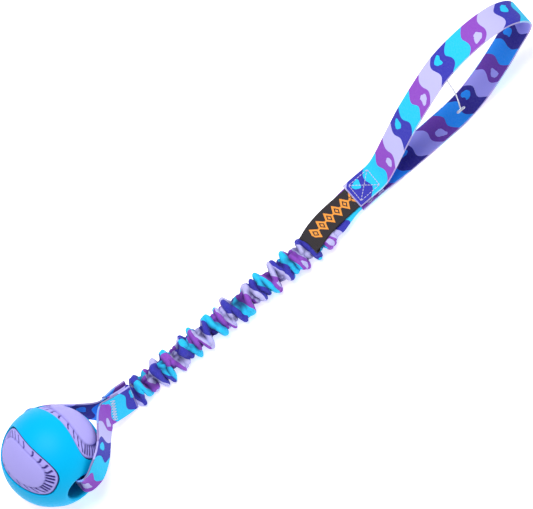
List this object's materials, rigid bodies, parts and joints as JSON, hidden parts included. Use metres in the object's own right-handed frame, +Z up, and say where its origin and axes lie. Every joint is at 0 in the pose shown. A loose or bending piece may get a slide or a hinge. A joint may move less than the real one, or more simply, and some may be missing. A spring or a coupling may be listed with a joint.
{
  "type": "bungee tug toy",
  "caption": "Dog tug toy: a two-colour rubber ball on a webbing strap, joined by a gathered elastic sleeve to a printed webbing hand loop with a folded label",
  "frame": {"origin": "middle of the toy's footprint, on the floor it lies on", "axes": "+X along the toy from the ball to the hand loop, +Y across it, +Z up"},
  "size_m": [0.4426, 0.069, 0.0692],
  "materials": {
    "ball_rubber": "smooth satin rubber",
    "inlay_rubber": "smooth matt rubber",
    "printed_webbing": "flat woven polyester webbing with a printed pattern of wavy bands",
    "printed_sleeve": "woven polyester with a printed pattern, gathered",
    "elastic": "covered elastic",
    "thread": "polyester sewing thread",
    "label_fabric": "damask-woven label ribbon",
    "clear_plastic": "clear nylon"
  },
  "bodies": {
    "handle": {"handle_webbing": "printed_webbing", "handle_box_stitch": "thread", "sleeve_handle_end": "printed_sleeve", "label": "label_fabric", "label_stitch": "thread", "tag_pin": "clear_plastic"},
    "bungee": {"bungee_sleeve": "printed_sleeve", "elastic_core": "elastic", "elastic_handle_tack": "thread"},
    "bungee_end": {"elastic_ball_tack": "thread"},
    "ball_strap": {"ball_strap": "printed_webbing", "strap_bartack_1": "thread", "strap_bartack_2": "thread", "sleeve_ball_end": "printed_sleeve"},
    "ball": {"ball_shell": "ball_rubber", "ball_inlay_1": "inlay_rubber", "ball_inlay_2": "inlay_rubber", "ball_inlay_3": "inlay_rubber", "ball_inlay_4": "inlay_rubber"}
  },
  "joints": [
    {"name": "handle_swing", "type": "hinge", "parent": "handle", "child": "bungee", "pos_m": [0.02499, 0.00953, 0.01], "axis": [0, 1, 0], "range_deg": [-90, 90]},
    {"name": "bungee_stretch", "type": "slide", "parent": "bungee", "child": "bungee_end", "axis": [-1, 0, 0], "range_m": [0, 0.15], "stiffness_N_per_m": 300, "deforming": ["bungee_sleeve", "elastic_core"]},
    {"name": "ball_swing", "type": "hinge", "parent": "bungee_end", "child": "ball_strap", "pos_m": [-0.11801, 0.00953, 0.01], "axis": [0, 0, 1], "range_deg": [-90, 90]},
    {"name": "ball_spin", "type": "hinge", "parent": "ball_strap", "child": "ball", "pos_m": [-0.18856, -0.00007, 0.03275], "axis": [-0.0654, 0.9979, 0], "continuous": true}
  ]
}
